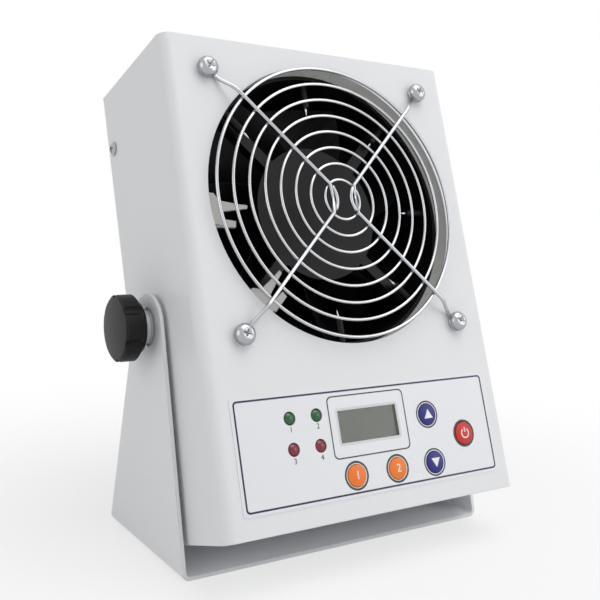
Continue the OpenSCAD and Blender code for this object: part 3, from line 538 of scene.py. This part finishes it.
# %% Digits, arrows and the power sign
def digit(name, text, size, middle, lift, material, body, slot):
    curve = bpy.data.curves.new(name, "FONT")
    curve.body, curve.size, curve.extrude = text, size, 0.02
    curve.align_x, curve.align_y = "CENTER", "CENTER"
    curve.resolution_u = 6
    holder = bpy.data.objects.new(name + "_text", curve)
    bpy.context.collection.objects.link(holder)
    bpy.context.view_layer.update()
    flat = bpy.data.meshes.new_from_object(holder)
    bpy.data.objects.remove(holder)
    mesh = bmesh.new()
    mesh.from_mesh(flat)
    bmesh.ops.remove_doubles(mesh, verts=mesh.verts, dist=0.0005)
    bmesh.ops.translate(mesh, vec=(*middle, lift), verts=mesh.verts)
    bpy.data.meshes.remove(flat)
    return finished_piece(name, mesh, FACE, material, body)


KEY_TOP = 1.2
SIGN_LOW, SIGN_HIGH = KEY_TOP - 0.3, KEY_TOP + 0.03
LAMP_NUMBER_SIZE, KEY_NUMBER_SIZE = 2.9, 4.6
LAMP_NUMBER_PLACES = [(-37.8, 36.1), (-25.8, 36.1), (-37.8, 24.4), (-25.8, 24.4)]
ON_FILM = (PRINT_LOW + 0.02, navy_ink, "blower", "panel_film")
for number, middle in enumerate(LAMP_NUMBER_PLACES, start=1):
    digit(f"lamp_number_{number}", str(number), LAMP_NUMBER_SIZE, middle, *ON_FILM)
for key, text in (("left", "1"), ("right", "2")):
    on_cap = (KEY_TOP + 0.01, white_ink, f"{key}_key_cap", "orange_keys")
    digit(f"{key}_key_number", text, KEY_NUMBER_SIZE, KEY_PLACES[key], *on_cap)

ARROW_RADIUS, ARROW_DROP = 2.5, 0.4


def key_arrow(key, way):
    """A triangle that points up, with way 1, or down, with way -1."""
    x, z = KEY_PLACES[key]
    middle = (x, z - way * ARROW_DROP)
    mesh = bmesh.new()
    outline = circle_outline(ARROW_RADIUS, middle, 3, way * math.pi / 2)
    add_plate(mesh, outline, SIGN_LOW, SIGN_HIGH)
    return finished_piece(f"{key}_key_arrow", mesh, FACE, white_ink, f"{key}_key_cap")


SIGN_RADII, SIGN_GAP = (2.15, 1.65), math.radians(38)


def power_sign():
    """An open ring with a bar in its gap."""
    x, z = KEY_PLACES["power"]
    start, sweep = math.pi / 2 + SIGN_GAP, 2 * math.pi - 2 * SIGN_GAP
    outer, inner = [circle_outline(radius, (x, z), 40, start, sweep) for radius in SIGN_RADII]
    bar = rounded_outline(0.5, 2.1, 0.2, (x, z + 1.4), 4)
    mesh = bmesh.new()
    add_band(mesh, outer, inner, SIGN_LOW, SIGN_HIGH, closed=False)
    add_plate(mesh, bar, SIGN_LOW, SIGN_HIGH + 0.01)
    return finished_piece("power_key_sign", mesh, FACE, white_ink, "power_key_cap")


key_arrow("up", 1)
key_arrow("down", -1)
power_sign()
print("signs: 4 lamp numbers, 2 key numbers, 2 arrows, 1 power sign")

# %% [markdown]
# **The wire guard.** Eight rings step outwards by the same distance, which is a rule, so
# Geometry Nodes draw them: points on a line become circles of growing size, and a round
# profile runs along each. The guard is the first thing anyone sees, so its wires are truly
# round and its spokes bend softly down to their eyelets.

# %% The ring tree
RING_COUNT, FIRST_RING, RING_STEP = 8, 8.4, 6.9
RING_WIRE, SPOKE_WIRE = 1.3, 1.6
RING_LIFT = 3.8


def guard_ring_tree():
    tree = bpy.data.node_groups.new("guard_rings", "GeometryNodeTree")
    face = tree.interface
    face.new_socket("Geometry", in_out="OUTPUT", socket_type="NodeSocketGeometry")
    face.new_socket("Count", in_out="INPUT", socket_type="NodeSocketInt")
    for label in ("First Radius", "Step", "Wire Radius", "Lift"):
        face.new_socket(label, in_out="INPUT", socket_type="NodeSocketFloat")
    face.new_socket("Wire", in_out="INPUT", socket_type="NodeSocketMaterial")
    add, join = tree.nodes.new, tree.links.new
    given, result = add("NodeGroupInput"), add("NodeGroupOutput")
    points = add("GeometryNodePoints")
    join(given.outputs["Count"], points.inputs["Count"])
    index, size = add("GeometryNodeInputIndex"), add("ShaderNodeMath")
    size.operation = "MULTIPLY_ADD"
    join(index.outputs[0], size.inputs[0])
    join(given.outputs["Step"], size.inputs[1])
    join(given.outputs["First Radius"], size.inputs[2])
    up = add("ShaderNodeCombineXYZ")
    join(given.outputs["Lift"], up.inputs["Z"])
    join(up.outputs[0], points.inputs["Position"])
    ring = add("GeometryNodeCurvePrimitiveCircle")
    ring.inputs["Radius"].default_value = 1.0
    ring.inputs["Resolution"].default_value = 128
    spread = add("GeometryNodeInstanceOnPoints")
    join(points.outputs[0], spread.inputs["Points"])
    join(ring.outputs["Curve"], spread.inputs["Instance"])
    join(size.outputs[0], spread.inputs["Scale"])
    real = add("GeometryNodeRealizeInstances")
    join(spread.outputs[0], real.inputs[0])
    profile = add("GeometryNodeCurvePrimitiveCircle")
    profile.inputs["Resolution"].default_value = 14
    join(given.outputs["Wire Radius"], profile.inputs["Radius"])
    even = add("GeometryNodeSetCurveRadius")
    even.inputs["Radius"].default_value = 1.0
    join(real.outputs[0], even.inputs["Curve"])
    wire = add("GeometryNodeCurveToMesh")
    join(even.outputs[0], wire.inputs["Curve"])
    join(profile.outputs["Curve"], wire.inputs["Profile Curve"])
    smooth = add("GeometryNodeSetShadeSmooth")
    join(wire.outputs[0], smooth.inputs[0])
    last_real = add("GeometryNodeRealizeInstances")
    join(smooth.outputs[0], last_real.inputs[0])
    paint = add("GeometryNodeSetMaterial")
    join(last_real.outputs[0], paint.inputs["Geometry"])
    join(given.outputs["Wire"], paint.inputs["Material"])
    join(paint.outputs[0], result.inputs[0])
    return tree


def made_mesh(tree, values):
    """Runs a tree on an empty mesh with the named inputs, and returns a plain mesh."""
    holder = bpy.data.objects.new("tree_holder", bpy.data.meshes.new("tree_holder"))
    bpy.context.collection.objects.link(holder)
    modifier = holder.modifiers.new("tree", "NODES")
    modifier.node_group = tree
    for item in tree.interface.items_tree:
        if item.item_type == "SOCKET" and item.in_out == "INPUT" and item.name in values:
            modifier[item.identifier] = values[item.name]
    bpy.context.view_layer.update()
    seen = holder.evaluated_get(bpy.context.evaluated_depsgraph_get())
    data = bpy.data.meshes.new_from_object(seen)
    bpy.data.objects.remove(holder)
    return data


ring_tree = guard_ring_tree()
ring_values = {
    "Count": RING_COUNT,
    "First Radius": FIRST_RING,
    "Step": RING_STEP,
    "Wire Radius": RING_WIRE / 2,
    "Lift": RING_LIFT,
    "Wire": bright_wire,
}
print("tree:", ring_tree.name, "with", len(ring_tree.nodes), "nodes")

# %% [markdown]
# Each spoke is one wire. It comes in from an eyelet, rounds a nose near the middle and runs
# out to the next eyelet. A tube swept along its path keeps the wire's thickness in bends.
#
# One fault is known and still open. `wire_guard` adds the points of the nose in reverse, so
# the wire crosses the nose three times. `nose_path()[1:-1]` should be the right order.


# %% Spokes and whole guards
def add_tube(mesh, path, radius, sides=14, closed=False):
    """A round wire along a path; a parallel frame keeps it from twisting."""
    path = [Vector(point) for point in path]
    count = len(path)
    rings, across = [], None
    for i, point in enumerate(path):
        before = path[i - 1] if (i or closed) else point
        after = path[(i + 1) % count] if (i < count - 1 or closed) else point
        ahead = (after - before).normalized()
        if across is None:
            across = ahead.orthogonal().normalized()
        across = (across - ahead * across.dot(ahead)).normalized()
        other = ahead.cross(across)
        turns = [2 * math.pi * k / sides for k in range(sides)]
        spread = [(across * math.cos(t) + other * math.sin(t)) * radius for t in turns]
        rings.append([mesh.verts.new(point + out) for out in spread])
    for i in range(count if closed else count - 1):
        here, there = rings[i], rings[(i + 1) % count]
        for k in range(sides):
            n = (k + 1) % sides
            mesh.faces.new((here[k], here[n], there[n], there[k]))
    if not closed:
        mesh.faces.new(list(reversed(rings[0])))
        mesh.faces.new(rings[-1])


def bent(a, corner, b, reach, steps=6):
    """Points that round the corner between two straight runs."""
    a, corner, b = Vector(a), Vector(corner), Vector(b)
    start = corner + (a - corner).normalized() * reach
    end = corner + (b - corner).normalized() * reach
    parts = [i / steps for i in range(steps + 1)]
    return [start.lerp(corner, t).lerp(corner.lerp(end, t), t) for t in parts]


SCREW_PITCH = 105.0
SCREW_RADIUS = SCREW_PITCH / math.sqrt(2)
SPOKE_BEND, SPOKE_FOOT = 61.5, 69.0
EYELET, NOSE = 3.2, 8.5
SPOKE_LIFT = RING_LIFT + RING_WIRE / 2 + SPOKE_WIRE / 2 - 0.2
EYELET_LIFT = SPOKE_WIRE / 2 + 0.05


def half_spoke(turn):
    """Path from just before the nose out to the eyelet, turned about the middle."""
    spin = Matrix.Rotation(turn, 3, "Z")
    far = SCREW_RADIUS - EYELET
    start, bend = (NOSE, 0, SPOKE_LIFT), (SPOKE_BEND, 0, SPOKE_LIFT)
    foot, end = (SPOKE_FOOT, 0, EYELET_LIFT), (far + 0.4, 0, EYELET_LIFT)
    bends = bent(start, bend, foot, 2.2) + bent(bend, foot, end, 1.6)
    path = [Vector(start)] + bends + [Vector(end)]
    return [spin @ point for point in path]


def nose_path():
    """The quarter circle that joins the two runs of one spoke."""
    centre = NOSE * math.sqrt(2)
    turns = [math.radians(225 - 90 * i / 16) for i in range(17)]
    return [Vector((centre + NOSE * math.cos(t), NOSE * math.sin(t), SPOKE_LIFT)) for t in turns]


def wire_guard(name, node, matrix):
    rings = made_mesh(ring_tree, ring_values)
    mesh = bmesh.new()
    mesh.from_mesh(rings)
    for side in (0.0, math.pi):
        spin = Matrix.Rotation(side, 3, "Z")
        down, up = half_spoke(-math.pi / 4), half_spoke(math.pi / 4)
        path = list(reversed(down)) + nose_path()[1:-1][::-1] + up
        add_tube(mesh, [spin @ point for point in path], SPOKE_WIRE / 2)
        for turn in (-math.pi / 4, math.pi / 4):
            eye = spin @ (Matrix.Rotation(turn, 3, "Z") @ Vector((SCREW_RADIUS, 0, EYELET_LIFT)))
            turns = [math.pi * k / 16 for k in range(32)]
            loop = [eye + Vector((EYELET * math.cos(t), EYELET * math.sin(t), 0)) for t in turns]
            add_tube(mesh, loop, SPOKE_WIRE / 2, closed=True)
    piece = finished_piece(name, mesh, matrix, bright_wire, "blower", smooth=True)
    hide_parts(node)
    return piece


front_guard = wire_guard("front_wire_guard", "front_guard", on_front(0, FAN_HEIGHT))
wire_guard("rear_wire_guard", "rear_guard", on_back(0, FAN_HEIGHT))
print("guards:", len(front_guard.data.polygons), "faces each")

# %% [markdown]
# **Guard screws.** One cross-recessed screw is turned from its profile. A small tree then
# sets a copy on each corner of a square as wide as the fan's screw pitch.


# %% One screw, and the tree that sets four
SCREW_SIDES, SHANK_RADIUS = 48, 1.95
HEAD = [(4.2, 0.0), (4.2, 0.55), (4.08, 1.1), (3.75, 1.75), (3.2, 2.3), (2.5, 2.68), (2.1, 2.8)]
RECESS_ARM, RECESS_CORNER, RECESS_HALF_ANGLE = 1.95, 0.62, 0.27
RECESS_TOP, RECESS_FLOOR, RECESS_TAPER = 2.85, 1.5, 0.72


def screw_mesh(length):
    """A pan head with a cross recess on a plain shank, its seat on z = 0."""
    mesh = bmesh.new()
    turns = [2 * math.pi * k / SCREW_SIDES for k in range(SCREW_SIDES)]
    aside = [abs(math.remainder(turn, math.pi / 2)) for turn in turns]
    cross = [RECESS_ARM if angle < RECESS_HALF_ANGLE else RECESS_CORNER for angle in aside]
    shank = [(SHANK_RADIUS, -length), (SHANK_RADIUS, 0.0)]
    levels = [([radius] * SCREW_SIDES, height) for radius, height in shank + HEAD]
    levels += [(cross, RECESS_TOP), ([radius * RECESS_TAPER for radius in cross], RECESS_FLOOR)]
    rings = []
    for radii, height in levels:
        points = [(r * math.cos(t), r * math.sin(t), height) for r, t in zip(radii, turns)]
        rings.append([mesh.verts.new(point) for point in points])
    for here, there in zip(rings, rings[1:]):
        for k in range(SCREW_SIDES):
            n = (k + 1) % SCREW_SIDES
            mesh.faces.new((here[k], here[n], there[n], there[k]))
    mesh.faces.new(list(reversed(rings[0])))
    mesh.faces.new(rings[-1])
    bmesh.ops.recalc_face_normals(mesh, faces=mesh.faces)
    data = bpy.data.meshes.new("one_screw")
    mesh.to_mesh(data)
    mesh.free()
    return data


def corner_tree():
    tree = bpy.data.node_groups.new("four_corners", "GeometryNodeTree")
    face = tree.interface
    face.new_socket("Geometry", in_out="OUTPUT", socket_type="NodeSocketGeometry")
    face.new_socket("Pitch", in_out="INPUT", socket_type="NodeSocketFloat")
    face.new_socket("Seat", in_out="INPUT", socket_type="NodeSocketFloat")
    face.new_socket("Screw", in_out="INPUT", socket_type="NodeSocketObject")
    face.new_socket("Plate", in_out="INPUT", socket_type="NodeSocketMaterial")
    add, join = tree.nodes.new, tree.links.new
    given, result = add("NodeGroupInput"), add("NodeGroupOutput")
    grid = add("GeometryNodeMeshGrid")
    grid.inputs["Vertices X"].default_value = 2
    grid.inputs["Vertices Y"].default_value = 2
    join(given.outputs["Pitch"], grid.inputs["Size X"])
    join(given.outputs["Pitch"], grid.inputs["Size Y"])
    lifted, up = add("GeometryNodeSetPosition"), add("ShaderNodeCombineXYZ")
    join(given.outputs["Seat"], up.inputs["Z"])
    join(grid.outputs["Mesh"], lifted.inputs["Geometry"])
    join(up.outputs[0], lifted.inputs["Offset"])
    screw, spread = add("GeometryNodeObjectInfo"), add("GeometryNodeInstanceOnPoints")
    join(given.outputs["Screw"], screw.inputs["Object"])
    join(lifted.outputs[0], spread.inputs["Points"])
    join(screw.outputs["Geometry"], spread.inputs["Instance"])
    turn = add("FunctionNodeRandomValue")
    turn.data_type = "FLOAT"
    turn.inputs["Seed"].default_value = 3
    turn.inputs[2].default_value, turn.inputs[3].default_value = 0.2, 1.3
    spin = add("ShaderNodeCombineXYZ")
    join(turn.outputs[1], spin.inputs["Z"])
    join(spin.outputs[0], spread.inputs["Rotation"])
    real, paint = add("GeometryNodeRealizeInstances"), add("GeometryNodeSetMaterial")
    join(spread.outputs[0], real.inputs[0])
    join(real.outputs[0], paint.inputs["Geometry"])
    join(given.outputs["Plate"], paint.inputs["Material"])
    join(paint.outputs[0], result.inputs[0])
    return tree


corners = corner_tree()


def guard_screws(name, node, matrix, length):
    screw = bpy.data.objects.new("one_screw", screw_mesh(length))
    bpy.context.collection.objects.link(screw)
    seat = EYELET_LIFT + SPOKE_WIRE / 2 + 0.05
    values = {"Pitch": SCREW_PITCH, "Seat": seat, "Screw": screw, "Plate": bright_screw}
    data = made_mesh(corners, values)
    bpy.data.objects.remove(screw)
    mesh = bmesh.new()
    mesh.from_mesh(data)
    piece = finished_piece(name, mesh, matrix, bright_screw, "blower", smooth=True)
    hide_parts(node)
    return piece


guard_screws("front_guard_pan_screws", "front_guard_screws", on_front(0, FAN_HEIGHT), 26.0)
guard_screws("rear_guard_pan_screws", "rear_guard_screws", on_back(0, FAN_HEIGHT), 8.0)
print("screws: 4 in front, 4 behind")

# %% [markdown]
# **Lead clips.** Two pale forked clips hold the high-voltage lead against the emitter ring,
# low on the left. Each is a small saddle with one long and one short finger.


# %% Lead clips
def lead_clip(name, degrees):
    mesh = bmesh.new()
    saddle = [(56.6, -5.6), (56.9, 0.0), (56.4, 6.6), (49.4, 7.8)]
    saddle += [(49.6, 2.4), (48.6, -1.0), (51.6, -5.2)]
    finger = [(49.8, -2.2), (49.8, 2.4), (44.0, 1.6), (37.6, 0.8), (37.4, -0.6), (41.6, -0.9)]
    short = [(52.0, 4.6), (52.0, 8.4), (43.4, 8.4), (43.0, 5.8)]
    for outline, low, high in ((saddle, 0.0, 3.2), (finger, 2.0, 3.4), (short, 1.2, 2.6)):
        add_plate(mesh, [(-r, -t) for r, t in outline], low, high)
    spin = Matrix.Rotation(math.radians(degrees), 4, "Z")
    return finished_piece(name, mesh, on_fan(12.2) @ spin, clip_nylon, "blower")


lead_clip("lead_clip_left", 0.0)
lead_clip("lead_clip_lower_left", 45.0)
print("clips: 2")

# %% [markdown]
# ## The room
# A pale floor, a white world behind it, and large soft lamps: one overhead and to the
# front, weaker ones at the sides. Large lamps give the soft, nearly shadowless light of a
# catalogue shot, and the floor still keeps a faint shadow under the stand.


# %% Floor and world
def pale_floor(size):
    bpy.ops.mesh.primitive_plane_add(size=size)
    floor = bpy.context.object
    floor.name = "floor"
    ground = Finish("pale_floor", (0.90, 0.90, 0.90), roughness=0.6)
    rays = ground.node("ShaderNodeLightPath")
    seen = Value(ground, rays.socket.node.outputs["Is Camera Ray"])
    glossy = Value(ground, rays.socket.node.outputs["Is Glossy Ray"])
    through = Value(ground, rays.socket.node.outputs["Is Transmission Ray"])
    here = ground.node("ShaderNodeTexCoord", output="Object")
    away = ground.node("ShaderNodeVectorMath", {"operation": "LENGTH"}, {0: here}, output=1)
    share = (seen + glossy + through).math("MINIMUM", 1.0)
    share = share * (0.62 + away.eased(0.06, 0.34) * 0.38)
    lit = Value(ground, ground.shader.outputs[0])
    white = ground.node("ShaderNodeEmission")
    blend = ground.node("ShaderNodeMixShader", {}, {0: share, 1: lit, 2: white})
    output = ground.tree.nodes["Material Output"]
    ground.tree.links.new(blend.socket, output.inputs["Surface"])
    floor.data.materials.append(ground.material)
    return floor


def white_world(light):
    world = bpy.data.worlds.new("studio")
    bpy.context.scene.world = world
    world.use_nodes = True
    tree = world.node_tree
    background = tree.nodes["Background"]
    background.inputs["Color"].default_value = (1, 1, 1, 1)
    rays = tree.nodes.new("ShaderNodeLightPath")
    total = None
    for kind in ("Is Camera Ray", "Is Glossy Ray", "Is Transmission Ray"):
        if total is None:
            total = rays.outputs[kind]
            continue
        add = tree.nodes.new("ShaderNodeMath")
        add.operation = "MAXIMUM"
        tree.links.new(total, add.inputs[0])
        tree.links.new(rays.outputs[kind], add.inputs[1])
        total = add.outputs[0]
    strength = tree.nodes.new("ShaderNodeMapRange")
    tree.links.new(total, strength.inputs["Value"])
    strength.inputs["To Min"].default_value = light
    strength.inputs["To Max"].default_value = 1.0
    tree.links.new(strength.outputs[0], background.inputs["Strength"])
    return world


floor = pale_floor(8.0)
world = white_world(0.42)
print("room:", floor.name, world.name)


# %% Lamps
def soft_lamp(name, place, target, size, power):
    light = bpy.data.lights.new(name, "AREA")
    light.shape, light.size, light.energy = "SQUARE", size, power
    lamp = bpy.data.objects.new(name, light)
    bpy.context.collection.objects.link(lamp)
    lamp.location = place
    lamp.rotation_euler = (Vector(target) - Vector(place)).to_track_quat("-Z", "Y").to_euler()
    return lamp


BLOWER_MIDDLE = (0, 0, 0.10)
soft_lamp("overhead", (0.25, -0.35, 1.25), BLOWER_MIDDLE, 1.0, 7.0)
soft_lamp("front_right", (0.95, -0.95, 0.55), BLOWER_MIDDLE, 0.8, 3.1)
soft_lamp("left_side", (-1.2, -0.25, 0.55), BLOWER_MIDDLE, 0.8, 2.2)
print("lamps: 3")

# %% [markdown]
# ## The camera
# It stands low and to the left of the blower, about 40 cm away, so that the left side, the
# knob and the whole face show. A real lens that close makes the near corner look larger.

# %% The camera
CAMERA_PLACE = Vector((-0.20716, -0.31236, 0.13967))
CAMERA_TARGET = Vector((0.02163, 0.03680, 0.09336))
CAMERA_ROLL = math.radians(1.89)
camera_data = bpy.data.cameras.new("camera")
camera_data.lens = 51.91
camera_data.sensor_width = 36.0
camera_data.clip_start, camera_data.clip_end = 0.01, 20.0
camera = bpy.data.objects.new("camera", camera_data)
bpy.context.collection.objects.link(camera)
aim = (CAMERA_TARGET - CAMERA_PLACE).to_track_quat("-Z", "Y").to_matrix().to_4x4()
camera.matrix_world = Matrix.Translation(CAMERA_PLACE) @ aim @ Matrix.Rotation(CAMERA_ROLL, 4, "Z")
bpy.context.scene.camera = camera
bpy.context.scene.view_settings.view_transform = "Standard"
print("camera", round((CAMERA_TARGET - CAMERA_PLACE).length, 3), "m from its target")
